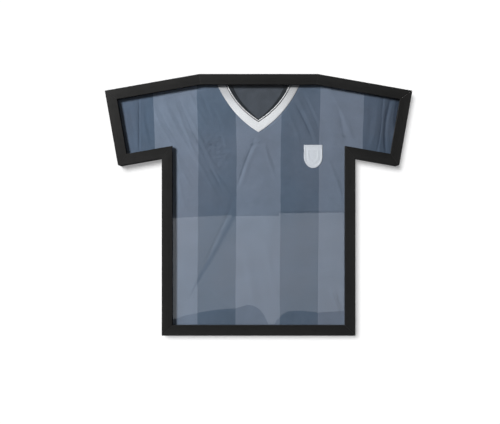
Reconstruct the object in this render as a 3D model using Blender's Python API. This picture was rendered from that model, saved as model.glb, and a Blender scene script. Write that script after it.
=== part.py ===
"""A wall frame in the outline of a T-shirt, with a jersey behind its window.

Metres, +Z up. The front faces -Y and +X is to the viewer's right. The origin is at the middle of
the underside. Ten mitred rails make the outline. Behind their lip lie the window, the jersey on
its form board, and a backing board, which turn buttons hold from behind.
"""

import math

import bmesh
import bpy
from mathutils import Matrix, Vector

# Outline of the rails, seen from the front
HEIGHT = 0.6305
TOP_HALF = 0.1428
TIP_HALF = 0.3705
BODY_HALF = 0.2333
SHOULDER_SLOPE = math.radians(10)
CUFF_LENGTH = 0.1845
CUFF_CORNER_RADIUS = 0.005
CUFF_CORNER_STEPS = 6
CUTTER_MARGIN = 0.002

# Rail section: width across the face, depth from front to back, and the rebate behind the lip
RAIL_WIDTH = 0.0254
RAIL_DEPTH = 0.0254
LIP = 0.008
REBATE = 0.005
EDGE_RADIUS = 0.0008
REAR_CHAMFER = 0.0005
EDGE_STEPS = 3
SMOOTH_ANGLE = math.radians(35)

# Clearances
GAP = 0.0003
SLIDING_GAP = 0.0005

# Depths of the layers, measured from the frame's front face
WINDOW = (0.0083, 0.0098)
BADGE = (0.0105, 0.0109)
JERSEY_FRONT = (0.0112, 0.0132)
JERSEY_BACK = (0.0135, 0.0145)
FORM_BOARD = (0.0148, 0.0183)
JERSEY_FOLDS = (0.0186, 0.0214)
BACKING = (0.0219, 0.0250)

# Insets of the layers, measured from the rails' outer edge
REBATE_INSET = RAIL_WIDTH - REBATE
SLIDING_INSET = REBATE_INSET + SLIDING_GAP
CLOTH_WRAP = 0.0012
POCKET_INSET = SLIDING_INSET + CLOTH_WRAP
FORM_INSET = POCKET_INSET + GAP

# V collar: outer and inner edge as (tip height, slope at the tip, half width, height, slope there)
COLLAR_OUTER = (0.4917, math.radians(31), 0.094, 0.595, math.radians(63))
COLLAR_INNER = (0.5228, math.radians(33), 0.070, 0.599, math.radians(64))
COLLAR_STEPS = 8
BACK_NECK_HALF = 0.105
BACK_NECK_DROP = 0.003
BACK_NECK_STOPS = (1, 0.66, 0.33, 0, -0.33, -0.66, -1)

# Chest emblem, a plain shield
BADGE_CENTRE = (0.1325, 0.4325)
BADGE_HALF_WIDTH = 0.0225
BADGE_HEIGHT = 0.056
BADGE_STEPS = 6

# Folded cloth behind the form board
SLEEVE_FOLD = 0.060
SIDE_FOLD = 0.050
HEM_FOLD = 0.075

# Hardware on the rails' backs; DOME is a head's (share of radius, share of height) from its seat
BUMPER_HEIGHT = 0.005
BUMPER_RADIUS = 0.006
BUMPER_TAPER = 0.86
BUMPER_FROM_CORNER = 0.030
BUTTON_LENGTH = 0.022
BUTTON_WIDTH = 0.011
BUTTON_THICKNESS = 0.0014
BUTTON_INSET = 0.0112
BUTTON_HOLE = 0.00185
BUTTON_NOSE = 0.72
TAIL_STEPS = 8
NOSE_STEPS = 6
SCREW_SHANK = 0.0015
SCREW_HEAD = 0.0034
SCREW_HEAD_HEIGHT = 0.0018
SCREW_LENGTH = 0.012
SCREW_POINT = 0.003
DOME = ((1.0, 0.35), (0.8, 0.75), (0.42, 0.96))
HANGER_HALF = 0.0225
HANGER_WIDTH = 0.011
HANGER_THICKNESS = 0.0010
HANGER_RAISE = 0.0016
HANGER_BEND_OUTER = 0.0150
HANGER_BEND_INNER = 0.0135
HANGER_END = ((0.0, 0.003), (0.001, 0.001), (0.003, 0.0))
HANGER_TEETH = 9
HANGER_TOOTH = 0.0016
HANGER_PIN_AT = 0.0188
HANGER_PIN_HOLE = 0.0012
HANGER_ALONG = 0.095
PIN_SHANK = 0.0008
PIN_HEAD = 0.0021
PIN_HEAD_HEIGHT = 0.0008
PIN_LENGTH = 0.008
PIN_POINT = 0.002
VNAIL_LEG = 0.007
VNAIL_THICKNESS = 0.0008
VNAIL_DEPTH = 0.009
VNAIL_INSET = 0.006
ROUND_STEPS = 12
BUMPER_STEPS = 20

DEPTH = RAIL_DEPTH + BUMPER_HEIGHT
FRONT_Y = -DEPTH / 2
REAR_Y = FRONT_Y + RAIL_DEPTH

RAIL_NAMES = (
    "rail_side_right",
    "rail_underarm_right",
    "rail_cuff_right",
    "rail_shoulder_right",
    "rail_top",
    "rail_shoulder_left",
    "rail_cuff_left",
    "rail_underarm_left",
    "rail_side_left",
    "rail_bottom",
)
CORNER_NAMES = (
    "bottom_right",
    "armpit_right",
    "cuff_low_right",
    "cuff_high_right",
    "neck_right",
    "neck_left",
    "cuff_high_left",
    "cuff_low_left",
    "armpit_left",
    "bottom_left",
)
ROUNDED_CORNERS = ("cuff_low_right", "cuff_low_left")

# Turn buttons: (name, rail, distance from the rail's middle towards its end)
BUTTONS = (
    ("side_right_low", "rail_side_right", -0.110),
    ("side_right_high", "rail_side_right", 0.110),
    ("cuff_right", "rail_cuff_right", 0.0),
    ("shoulder_right", "rail_shoulder_right", 0.0),
    ("shoulder_left", "rail_shoulder_left", 0.0),
    ("cuff_left", "rail_cuff_left", 0.0),
    ("side_left_high", "rail_side_left", -0.110),
    ("side_left_low", "rail_side_left", 0.110),
    ("bottom_left", "rail_bottom", -0.120),
    ("bottom_right", "rail_bottom", 0.120),
)
HANGERS = (("right", -HANGER_ALONG), ("left", HANGER_ALONG))

# Finishes: colour, roughness, metallic
FINISHES = {
    "black_lacquer": ((0.022, 0.022, 0.021), 0.55, 0.0),
    "clear_plastic": ((0.90, 0.93, 0.95), 0.08, 0.0),
    "jersey_knit": ((0.20, 0.26, 0.35), 0.85, 0.0),
    "jersey_inside": ((0.10, 0.12, 0.16), 0.90, 0.0),
    "collar_knit": ((0.78, 0.79, 0.82), 0.80, 0.0),
    "emblem_silver": ((0.80, 0.82, 0.85), 0.45, 0.0),
    "kraft_board": ((0.50, 0.38, 0.25), 0.90, 0.0),
    "hardboard": ((0.24, 0.15, 0.09), 0.75, 0.0),
    "zinc_steel": ((0.62, 0.62, 0.60), 0.35, 1.0),
    "black_rubber": ((0.03, 0.03, 0.03), 0.80, 0.0),
}


def outline_corners():
    """The ten outer corners as (x, z), anticlockwise from the bottom right one."""
    along = Vector((math.cos(SHOULDER_SLOPE), -math.sin(SHOULDER_SLOPE)))
    tip_z = HEIGHT - (TIP_HALF - TOP_HALF) * math.tan(SHOULDER_SLOPE)
    tip = Vector((TIP_HALF, tip_z))
    low = tip + CUFF_LENGTH * Vector((along.y, -along.x))
    armpit = low - along * (low.x - BODY_HALF) / along.x
    right = [Vector((BODY_HALF, 0)), armpit, low, tip, Vector((TOP_HALF, HEIGHT))]
    return right + [Vector((-p.x, p.y)) for p in reversed(right)]


CORNERS = outline_corners()
COUNT = len(CORNERS)


def direction(i):
    """Unit vector along rail i, from its first corner to its second."""
    return (CORNERS[(i + 1) % COUNT] - CORNERS[i]).normalized()


def inward(i):
    """Unit vector across rail i, from its outer edge towards the window."""
    along = direction(i)
    return Vector((-along.y, along.x))


def mitre(i):
    """How far corner i moves when both of its rails' edges move inwards by 1."""
    before, after = inward(i - 1), inward(i)
    return (before + after) / (1 + before.dot(after))


def inset_outline(inset):
    """The T outline with every edge moved inwards."""
    return [CORNERS[i] + inset * mitre(i) for i in range(COUNT)]


def material(finish):
    """The named finish as a Principled material."""
    if finish in bpy.data.materials:
        return bpy.data.materials[finish]
    colour, roughness, metallic = FINISHES[finish]
    made = bpy.data.materials.new(finish)
    made.use_nodes = True
    made.diffuse_color = (*colour, 1)
    shader = made.node_tree.nodes["Principled BSDF"]
    shader.inputs["Base Color"].default_value = (*colour, 1)
    shader.inputs["Roughness"].default_value = roughness
    shader.inputs["Metallic"].default_value = metallic
    return made


def new_object(name, bm, finish=None, smooth=False):
    """An object made from a bmesh, which it frees."""
    bmesh.ops.recalc_face_normals(bm, faces=bm.faces)
    mesh = bpy.data.meshes.new(name)
    bm.to_mesh(mesh)
    bm.free()
    if smooth:
        mesh.shade_smooth()
        mesh.set_sharp_from_angle(angle=SMOOTH_ANGLE)
    made = bpy.data.objects.new(name, mesh)
    bpy.context.collection.objects.link(made)
    if finish:
        mesh.materials.append(material(finish))
    return made


def add_prism(bm, loop, front, back):
    """Adds the closed solid between y = front and y = back over a loop of (x, z)."""
    near = [bm.verts.new((x, front, z)) for x, z in loop]
    far = [bm.verts.new((x, back, z)) for x, z in loop]
    bm.faces.new(near)
    bm.faces.new(reversed(far))
    for k in range(len(loop)):
        nxt = (k + 1) % len(loop)
        bm.faces.new((near[nxt], near[k], far[k], far[nxt]))


def prism(name, loop, front, back, finish=None):
    """A flat piece with the outline loop."""
    bm = bmesh.new()
    add_prism(bm, loop, front, back)
    return new_object(name, bm, finish)


def layer(name, loop, depths, finish):
    """A flat piece at depths measured from the frame's front face."""
    return prism(name, loop, FRONT_Y + depths[0], FRONT_Y + depths[1], finish)


def circle(radius, steps, x=0.0, z=0.0):
    """Points of a circle as (x, z)."""
    turns = [2 * math.pi * k / steps for k in range(steps)]
    return [(x + radius * math.cos(a), z + radius * math.sin(a)) for a in turns]


def arc(centre, radius, start, end, steps):
    """Points of an arc as (x, z), both ends included."""
    angles = [start + (end - start) * k / steps for k in range(steps + 1)]
    return [
        (centre[0] + radius * math.cos(a), centre[1] + radius * math.sin(a))
        for a in angles
    ]


def turned(name, profile, finish, steps=ROUND_STEPS):
    """A solid of revolution about Y from a profile of (radius, y) whose ends lie on the axis."""
    bm = bmesh.new()
    first = bm.verts.new((0, profile[0][1], 0))
    last = bm.verts.new((0, profile[-1][1], 0))
    rings = [
        [bm.verts.new((x, y, z)) for x, z in circle(r, steps)] for r, y in profile[1:-1]
    ]
    for k in range(steps):
        nxt = (k + 1) % steps
        bm.faces.new((first, rings[0][k], rings[0][nxt]))
        for low, high in zip(rings, rings[1:]):
            bm.faces.new((low[k], high[k], high[nxt], low[nxt]))
        bm.faces.new((last, rings[-1][nxt], rings[-1][k]))
    return new_object(name, bm, finish, smooth=True)


def subtract(target, cutter):
    """Cuts a hidden cutter out of an object."""
    cutter.hide_render = True
    cutter.display_type = "WIRE"
    cut = target.modifiers.new("cut", "BOOLEAN")
    cut.operation = "DIFFERENCE"
    cut.solver = "EXACT"
    cut.object = cutter


def on_rail(made, rail, along, inset, y=0.0):
    """Places an object on a rail: local X along the rail, local Z inwards."""
    i = RAIL_NAMES.index(rail)
    middle = (CORNERS[i] + CORNERS[(i + 1) % COUNT]) / 2
    spot = middle + along * direction(i) + inset * inward(i)
    made.location = (spot.x, y, spot.y)
    made.rotation_euler = (0, -math.atan2(direction(i).y, direction(i).x), 0)
    return made


def rail_section():
    """The rail's cross-section as (distance from the outer edge, y)."""
    r, c = EDGE_RADIUS, REAR_CHAMFER
    quarter = math.pi / 2
    outer = arc((r, FRONT_Y + r), r, -2 * quarter, -quarter, EDGE_STEPS)
    inner = arc((RAIL_WIDTH - r, FRONT_Y + r), r, -quarter, 0, EDGE_STEPS)
    back = [
        (RAIL_WIDTH, FRONT_Y + LIP),
        (REBATE_INSET, FRONT_Y + LIP),
        (REBATE_INSET, REAR_Y),
        (c, REAR_Y),
        (0, REAR_Y - c),
    ]
    return outer + inner + back


def vnail_loop(grow):
    """The V-nail's outline as (across the mitre, along it), its point towards the corner."""
    half = VNAIL_THICKNESS / 2 + grow
    lean = Vector((math.sin(math.pi / 4), math.cos(math.pi / 4)))
    side = Vector((lean.y, -lean.x))
    end = lean * (VNAIL_LEG + grow)
    right = [end + side * half, end - side * half]
    left = [Vector((-p.x, p.y)) for p in reversed(right)]
    point = Vector((0, half * math.sqrt(2)))
    return [-point, *right, point, *left]


def corner_frame(i):
    """Matrix of corner i's V-nail: local X across the mitre, local Z along it, inwards."""
    along = mitre(i).normalized()
    spot = CORNERS[i] + VNAIL_INSET * mitre(i)
    turn = Matrix.Rotation(math.atan2(along.x, along.y), 4, "Y")
    return Matrix.Translation((spot.x, 0, spot.y)) @ turn


def add_corner_trim(bm, end, sign):
    """Adds the waste outside a rounded corner at x = end, in a rail's own frame."""
    radius, beyond = CUFF_CORNER_RADIUS, CUTTER_MARGIN
    centre = (end - sign * radius, radius)
    start = 0 if sign > 0 else math.pi
    end_angle = -math.pi / 2 if sign > 0 else 3 * math.pi / 2
    curve = arc(centre, radius, start, end_angle, CUFF_CORNER_STEPS)
    outside = [
        (end - sign * radius, -beyond),
        (end + sign * beyond, -beyond),
        (end + sign * beyond, radius),
    ]
    add_prism(bm, curve + outside, FRONT_Y - beyond, REAR_Y + beyond)


def rail_cutter(i, frame):
    """Everything that is cut out of rail i: V-nail slots, pilot holes and rounded corners."""
    bm = bmesh.new()
    floor = REAR_Y - VNAIL_DEPTH - 2 * GAP
    for corner in (i, (i + 1) % COUNT):
        placed = frame.inverted() @ corner_frame(corner)
        loop = [placed @ Vector((x, 0, z)) for x, z in vnail_loop(GAP)]
        add_prism(bm, [(p.x, p.z) for p in loop], floor, REAR_Y + GAP)
    for _, rail, along in BUTTONS:
        if rail == RAIL_NAMES[i]:
            hole = circle(SCREW_SHANK + GAP, ROUND_STEPS, along, BUTTON_INSET)
            add_prism(bm, hole, REAR_Y - SCREW_LENGTH - GAP, REAR_Y + GAP)
    if RAIL_NAMES[i] == "rail_top":
        for _, along in HANGERS:
            for side in (-1, 1):
                spot = along + side * HANGER_PIN_AT
                hole = circle(PIN_SHANK + GAP, ROUND_STEPS, spot, REBATE_INSET / 2)
                add_prism(bm, hole, REAR_Y - PIN_LENGTH - GAP, REAR_Y + GAP)
    half = (CORNERS[(i + 1) % COUNT] - CORNERS[i]).length / 2
    if CORNER_NAMES[i] in ROUNDED_CORNERS:
        add_corner_trim(bm, -half, -1)
    if CORNER_NAMES[(i + 1) % COUNT] in ROUNDED_CORNERS:
        add_corner_trim(bm, half, 1)
    cutter = new_object(f"cut_{RAIL_NAMES[i]}", bm)
    cutter.matrix_world = frame
    return cutter


def rail(i):
    """One mitred rail, made along its own X with its width along its own Z."""
    along = direction(i)
    half = (CORNERS[(i + 1) % COUNT] - CORNERS[i]).length / 2
    leans = [mitre(i).dot(along), mitre((i + 1) % COUNT).dot(along)]
    backs = [GAP / 2 * math.sqrt(1 + lean * lean) for lean in leans]
    section = rail_section()
    bm = bmesh.new()
    first = [
        bm.verts.new((-half + u * leans[0] + backs[0], y, u)) for u, y in section
    ]
    last = [bm.verts.new((half + u * leans[1] - backs[1], y, u)) for u, y in section]
    bm.faces.new(first)
    bm.faces.new(reversed(last))
    for k in range(len(section)):
        nxt = (k + 1) % len(section)
        bm.faces.new((first[nxt], first[k], last[k], last[nxt]))
    made = new_object(RAIL_NAMES[i], bm, "black_lacquer", smooth=True)
    on_rail(made, RAIL_NAMES[i], 0.0, 0.0)
    bpy.context.view_layer.update()
    subtract(made, rail_cutter(i, made.matrix_world.copy()))


def vnail(i):
    """The V-nail across corner i's mitre, just below the rails' backs."""
    made = prism(
        f"vnail_{CORNER_NAMES[i]}",
        vnail_loop(0.0),
        REAR_Y - GAP - VNAIL_DEPTH,
        REAR_Y - GAP,
        "zinc_steel",
    )
    made.matrix_world = corner_frame(i)


def collar_edge(edge, grow=0.0):
    """Half of a V collar edge as (x, z), from the tip up to past the window's top."""
    tip_z, tip_slope, top_x, top_z, top_slope = edge
    tip, top = Vector((0, tip_z)), Vector((top_x, top_z))
    rise = Vector((math.cos(tip_slope), math.sin(tip_slope)))
    fall = Vector((math.cos(top_slope), math.sin(top_slope)))
    span = top - tip
    reach = (span.x * fall.y - span.y * fall.x) / (rise.x * fall.y - rise.y * fall.x)
    bend = tip + rise * reach
    points = []
    for k in range(COLLAR_STEPS + 1):
        t = k / COLLAR_STEPS
        spot = (1 - t) ** 2 * tip + 2 * t * (1 - t) * bend + t**2 * top
        slope = ((1 - t) * (bend - tip) + t * (top - bend)).normalized()
        points.append(spot + grow * Vector((slope.y, -slope.x)))
    points[0] = Vector((0, tip_z - grow / math.cos(tip_slope)))
    roof = HEIGHT - FORM_INSET - GAP + grow
    end = points[-1]
    points.append(end + fall * (roof - end.y) / fall.y)
    return points


def mirrored(half):
    """A whole V from its right half, from the upper left over the tip to the upper right."""
    return [Vector((-p.x, p.y)) for p in reversed(half[1:])] + half


def jersey():
    """The jersey's solids: panels, collar, emblem and the cloth folded behind the form board."""
    front = layer(
        "jersey_front",
        inset_outline(SLIDING_INSET),
        (JERSEY_FRONT[0], JERSEY_FOLDS[1]),
        "jersey_knit",
    )
    pocket = layer(
        "cut_jersey_pocket",
        inset_outline(POCKET_INSET),
        (JERSEY_FRONT[1], JERSEY_FOLDS[1] + GAP),
        None,
    )
    notch = layer(
        "cut_jersey_neck",
        mirrored(collar_edge(COLLAR_OUTER, GAP)),
        (JERSEY_FRONT[0] - GAP, JERSEY_FRONT[1] + GAP),
        None,
    )
    subtract(front, pocket)
    subtract(front, notch)

    collar = mirrored(collar_edge(COLLAR_OUTER)) + mirrored(collar_edge(COLLAR_INNER))[::-1]
    layer("jersey_collar", collar, JERSEY_FRONT, "collar_knit")

    back = inset_outline(FORM_INSET)
    scoop = [
        (BACK_NECK_HALF * x, HEIGHT - FORM_INSET - BACK_NECK_DROP * math.cos(x * math.pi / 2))
        for x in BACK_NECK_STOPS
    ]
    neck = CORNER_NAMES.index("neck_right") + 1
    layer("jersey_back", back[:neck] + scoop + back[neck:], JERSEY_BACK, "jersey_inside")

    x, z = BADGE_CENTRE
    top, bottom = z + BADGE_HEIGHT / 2, z - BADGE_HEIGHT / 2
    side = [
        (BADGE_HALF_WIDTH * math.cos(a), (bottom - z) * math.sin(a))
        for a in [math.pi / 2 * k / BADGE_STEPS for k in range(BADGE_STEPS + 1)]
    ]
    right = [(x + BADGE_HALF_WIDTH, top)] + [(x + dx, z + dz) for dx, dz in side]
    left = [(2 * x - px, pz) for px, pz in reversed(right[:-1])]
    layer("jersey_badge", right + left, BADGE, "emblem_silver")

    edge = inset_outline(FORM_INSET)
    corner = dict(zip(CORNER_NAMES, edge))
    for side, sign in (("right", 1), ("left", -1)):
        high, low = corner[f"cuff_high_{side}"], corner[f"cuff_low_{side}"]
        along = sign * SLEEVE_FOLD * Vector((math.cos(SHOULDER_SLOPE), 0))
        drop = Vector((0, SLEEVE_FOLD * math.sin(SHOULDER_SLOPE)))
        flap = [low, high, high - along + drop, low - along + drop]
        layer(f"jersey_sleeve_fold_{side}", flap, JERSEY_FOLDS, "jersey_knit")
        armpit, foot = corner[f"armpit_{side}"], corner[f"bottom_{side}"]
        floor = foot.y + HEM_FOLD + GAP
        strip = [
            (armpit.x, floor),
            (armpit.x, armpit.y),
            (armpit.x - sign * SIDE_FOLD, armpit.y),
            (armpit.x - sign * SIDE_FOLD, floor),
        ]
        layer(f"jersey_side_fold_{side}", strip, JERSEY_FOLDS, "jersey_knit")
    right, left = corner["bottom_right"], corner["bottom_left"]
    lift = Vector((0, HEM_FOLD))
    layer("jersey_hem_fold", [left, right, right + lift, left + lift], JERSEY_FOLDS, "jersey_knit")


def button_mesh_object(name):
    """A turn button with its screw hole at its own origin, pointing along its own X."""
    half = BUTTON_WIDTH / 2
    tail = arc((0, 0), half, math.pi / 2, 3 * math.pi / 2, TAIL_STEPS)
    nose_radius = half * BUTTON_NOSE
    nose_x = BUTTON_LENGTH - half - nose_radius
    nose = arc((nose_x, 0), nose_radius, -math.pi / 2, math.pi / 2, NOSE_STEPS)
    outer = tail + nose
    start, end = REAR_Y + GAP, REAR_Y + GAP + BUTTON_THICKNESS
    made = prism(name, outer, start, end, "zinc_steel")
    hole = prism(
        f"cut_{name}",
        circle(BUTTON_HOLE, ROUND_STEPS),
        start - GAP,
        end + GAP,
    )
    hole.parent = made
    subtract(made, hole)
    return made


def pin_profile(shank, head, head_height, length, point, seat):
    """Profile of a domed screw or pin as (radius, y), from its point to its head."""
    return [
        (0, REAR_Y - length),
        (shank, REAR_Y - length + point),
        (shank, seat),
        (head, seat),
        *[(wide * head, seat + tall * head_height) for wide, tall in DOME],
        (0, seat + head_height),
    ]


def hanger(name):
    """A sawtooth hanger: flat ends, a raised middle and teeth along its lower edge."""
    half, tooth = HANGER_WIDTH / 2, HANGER_TOOTH
    columns = [(HANGER_HALF - back, half - tuck, half - tuck, 0.0) for back, tuck in HANGER_END]
    columns.append((HANGER_BEND_OUTER, half, half, 0.0))
    columns.append((HANGER_BEND_INNER, half, half, HANGER_RAISE))
    pitch = HANGER_BEND_INNER * 2 / (HANGER_TEETH + 1)
    for k in range(2 * HANGER_TEETH + 1):
        x = HANGER_BEND_INNER - pitch * (k + 1) / 2
        columns.append((x, half, half - tooth * (k % 2 == 0), HANGER_RAISE))
    left = [(-x, *rest) for x, *rest in reversed(columns[:5])]
    columns += left
    start = REAR_Y + GAP
    bm = bmesh.new()
    rows = []
    for x, upper, lower, lift in columns:
        y0, y1 = start + lift, start + lift + HANGER_THICKNESS
        spots = [(x, y0, -upper), (x, y0, lower), (x, y1, lower), (x, y1, -upper)]
        rows.append([bm.verts.new(spot) for spot in spots])
    bm.faces.new(rows[0])
    bm.faces.new(reversed(rows[-1]))
    for here, there in zip(rows, rows[1:]):
        for k in range(4):
            nxt = (k + 1) % 4
            bm.faces.new((here[nxt], here[k], there[k], there[nxt]))
    made = new_object(name, bm, "zinc_steel")
    holes = bmesh.new()
    for side in (-1, 1):
        hole = circle(HANGER_PIN_HOLE, ROUND_STEPS, side * HANGER_PIN_AT, 0)
        add_prism(holes, hole, start - GAP, start + HANGER_THICKNESS + GAP)
    cutter = new_object(f"cut_{name}", holes)
    cutter.parent = made
    subtract(made, cutter)
    return made


def hardware():
    """Turn buttons and their screws, hangers and their pins, and bumpers."""
    seat = REAR_Y + BUTTON_THICKNESS + 2 * GAP
    screw = pin_profile(
        SCREW_SHANK, SCREW_HEAD, SCREW_HEAD_HEIGHT, SCREW_LENGTH, SCREW_POINT, seat
    )
    for name, rail_name, along in BUTTONS:
        button = button_mesh_object(f"turn_button_{name}")
        on_rail(button, rail_name, along, BUTTON_INSET)
        made = turned(f"button_screw_{name}", screw, "zinc_steel")
        on_rail(made, rail_name, along, BUTTON_INSET)

    seat = REAR_Y + HANGER_THICKNESS + 2 * GAP
    pin = pin_profile(PIN_SHANK, PIN_HEAD, PIN_HEAD_HEIGHT, PIN_LENGTH, PIN_POINT, seat)
    for side, along in HANGERS:
        on_rail(hanger(f"hanger_{side}"), "rail_top", along, REBATE_INSET / 2)
        for place, shift in (("inner", -1), ("outer", 1)):
            spot = along * (1 + shift * HANGER_PIN_AT / HANGER_ALONG)
            made = turned(f"hanger_pin_{side}_{place}", pin, "zinc_steel")
            on_rail(made, "rail_top", spot, REBATE_INSET / 2)

    half = BUMPER_HEIGHT / 2
    foot = [
        (0, REAR_Y + GAP),
        (BUMPER_RADIUS, REAR_Y + GAP),
        (BUMPER_RADIUS, REAR_Y + half),
        (BUMPER_TAPER * BUMPER_RADIUS, REAR_Y + BUMPER_HEIGHT),
        (0, REAR_Y + BUMPER_HEIGHT),
    ]
    for side, sign in (("right", 1), ("left", -1)):
        made = turned(f"bumper_{side}", foot, "black_rubber", BUMPER_STEPS)
        along = sign * (BODY_HALF - BUMPER_FROM_CORNER)
        on_rail(made, "rail_bottom", along, REBATE_INSET / 2)


def boards():
    """The window, the form board and the backing board."""
    layer("window", inset_outline(SLIDING_INSET), WINDOW, "clear_plastic")
    layer("form_board", inset_outline(FORM_INSET), FORM_BOARD, "kraft_board")
    layer("backing_board", inset_outline(SLIDING_INSET), BACKING, "hardboard")


def main():
    for old in list(bpy.data.objects):
        bpy.data.objects.remove(old, do_unlink=True)
    for i in range(COUNT):
        rail(i)
        vnail(i)
    boards()
    jersey()
    hardware()


main()
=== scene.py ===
"""The jersey display frame, dressed: cloth, window, finishes, hardware, light and camera.

Metres, +Z up. The front faces -Y and +X is to the viewer's right, as in the CAD.
"""

import random
from math import asin, atan2, cos, exp, hypot, pi, radians, sin, sqrt, tan

import bmesh
import bpy
import numpy as np
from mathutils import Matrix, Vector
from numpy import concatenate as join, stack
from numpy.linalg import norm


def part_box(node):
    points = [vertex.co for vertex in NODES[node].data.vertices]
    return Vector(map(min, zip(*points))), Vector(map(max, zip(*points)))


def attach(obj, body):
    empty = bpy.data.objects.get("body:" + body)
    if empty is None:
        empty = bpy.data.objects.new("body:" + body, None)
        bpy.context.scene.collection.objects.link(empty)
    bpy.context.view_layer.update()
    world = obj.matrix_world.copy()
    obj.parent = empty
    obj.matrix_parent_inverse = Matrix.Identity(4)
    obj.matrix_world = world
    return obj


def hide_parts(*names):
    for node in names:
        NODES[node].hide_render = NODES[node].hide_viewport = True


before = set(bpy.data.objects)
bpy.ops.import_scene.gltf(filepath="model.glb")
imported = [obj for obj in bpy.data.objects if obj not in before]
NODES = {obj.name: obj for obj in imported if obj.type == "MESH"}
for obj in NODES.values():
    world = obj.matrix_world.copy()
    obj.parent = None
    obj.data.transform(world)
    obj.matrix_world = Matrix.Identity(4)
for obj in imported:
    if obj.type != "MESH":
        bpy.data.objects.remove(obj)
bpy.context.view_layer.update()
MM = 0.001

# Outline of the rails and the clearances, as the CAD has them
HEIGHT = 0.6305
TOP_HALF = 0.1428
TIP_HALF = 0.3705
BODY_HALF = 0.2333
SHOULDER_SLOPE = radians(10)
CUFF_LENGTH = 0.1845
SIGHT_INSET = 0.0254
SLIDING_INSET = 0.0209
FORM_INSET = 0.0224
FRONT_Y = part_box("rail_top")[0].y

# V collar: outer and inner edge as (tip height, slope at the tip, half width, height, slope there)
COLLAR_OUTER = (0.4917, radians(31), 0.094, 0.595, radians(63))
COLLAR_INNER = (0.5228, radians(33), 0.07, 0.599, radians(64))

# Jersey stripes: where the colour changes, each way from the middle
STRIPES = (0.0536, 0.1462, 0.2521)

EMBLEM_AT = (0.1325, 0.4325)
CLOTH_STEP = 0.00246
SLEEVE_FOLD = 0.06

# Thickness of the shirt, depths behind the frame's front and limits of the creases, all in mm
CLOTH_THICKNESS = 0.5
COLLAR_DEPTH = 11.3
CLOTH_DEPTH = 12.05
FACING_DEPTH = 12.55
BACK_DEPTH = 13.72
FOLDS_DEPTH = 19.9
FOLD_END = 21.35
HIGHEST, LOWEST = 0.85, 0.62
CREASE_GAIN = 1.45


# ---- outline

def outline_corners():
    """The ten outer corners as (x, z), anticlockwise from the bottom right one."""
    along = Vector((cos(SHOULDER_SLOPE), -sin(SHOULDER_SLOPE)))
    tip_z = HEIGHT - (TIP_HALF - TOP_HALF) * tan(SHOULDER_SLOPE)
    tip = Vector((TIP_HALF, tip_z))
    low = tip + CUFF_LENGTH * Vector((along.y, -along.x))
    armpit = low - along * (low.x - BODY_HALF) / along.x
    right = [Vector((BODY_HALF, 0)), armpit, low, tip, Vector((TOP_HALF, HEIGHT))]
    return right + [Vector((-p.x, p.y)) for p in reversed(right)]


CORNERS = outline_corners()
COUNT = len(CORNERS)
HALF = ("bottom", "armpit", "cuff_low", "cuff_high", "neck")
CORNER_NAMES = [f"{name}_right" for name in HALF] + [f"{name}_left" for name in HALF[::-1]]


def direction(i):
    """Unit vector along rail i, from its first corner to its second."""
    return (CORNERS[(i + 1) % COUNT] - CORNERS[i]).normalized()


def inward(i):
    """Unit vector across rail i, from its outer edge towards the window."""
    along = direction(i)
    return Vector((-along.y, along.x))


def mitre(i):
    """How far corner i moves when both of its rails' edges move inwards by 1."""
    before, after = inward(i - 1), inward(i)
    return (before + after) / (1 + before.dot(after))


def inset_corners(inset):
    """The T outline with every edge moved inwards, by corner name."""
    return {name: CORNERS[i] + inset * mitre(i) for i, name in enumerate(CORNER_NAMES)}


def area_of(corners):
    """Area inside a loop of (x, z)."""
    return 0.5 * sum(a.x * b.y - b.x * a.y for a, b in zip(corners, corners[1:] + corners[:1]))


def collar_edge(edge, grow=0.0, steps=44, rise_steps=6):
    """Half of a V collar edge as an array of (x, z), from the tip up to behind the top rail."""
    tip_z, tip_slope, top_x, top_z, top_slope = edge
    tip, top = Vector((0, tip_z)), Vector((top_x, top_z))
    rise = Vector((cos(tip_slope), sin(tip_slope)))
    fall = Vector((cos(top_slope), sin(top_slope)))
    span = top - tip
    reach = (span.x * fall.y - span.y * fall.x) / (rise.x * fall.y - rise.y * fall.x)
    bend = tip + rise * reach
    points = []
    for k in range(steps + 1):
        t = k / steps
        spot = (1 - t) ** 2 * tip + 2 * t * (1 - t) * bend + t**2 * top
        slope = ((1 - t) * (bend - tip) + t * (top - bend)).normalized()
        points.append(spot + grow * Vector((slope.y, -slope.x)))
    points[0] = Vector((0, tip_z - grow / cos(tip_slope)))
    end, roof = points[-1], HEIGHT - FORM_INSET - 0.0003
    for k in range(1, rise_steps + 1):
        points.append(end + fall * (roof - end.y) / fall.y * k / rise_steps)
    return np.array([(p.x, p.y) for p in points])


def whole_v(half):
    """A whole V from its right half, from the upper left over the tip to the upper right."""
    return join([half[:0:-1] * (-1, 1), half])


# ---- mesh helpers

def place_object(name, data):
    made = bpy.data.objects.new(name, data)
    bpy.context.collection.objects.link(made)
    return made


def new_mesh(name, verts, faces):
    mesh = bpy.data.meshes.new(name)
    mesh.from_pydata(verts, [], faces)
    return mesh


def link(name, mesh, body=None, slot=None, material=None, smooth=True, sharp=None):
    """Adds an object for a mesh, on a body of the CAD, with its slot's finish unless told."""
    mesh.validate()
    mesh.update()
    if smooth:
        mesh.shade_smooth()
        if sharp:
            mesh.set_sharp_from_angle(angle=radians(sharp))
    made = place_object(name, mesh)
    mesh.materials.append(material or FINISH[slot])
    if body:
        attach(made, body)
    return made


def depth(mm):
    """Y at a depth behind the frame's front face, given in millimetres."""
    return FRONT_Y + np.asarray(mm) * MM


def grid_quads(rows, columns, first=0):
    """Quads of a grid whose points are numbered row by row."""
    i, j = np.meshgrid(np.arange(rows - 1), np.arange(columns - 1), indexing="ij")
    a = first + i * columns + j
    return stack([a, a + 1, a + columns + 1, a + columns], -1).reshape(-1, 4)


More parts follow.
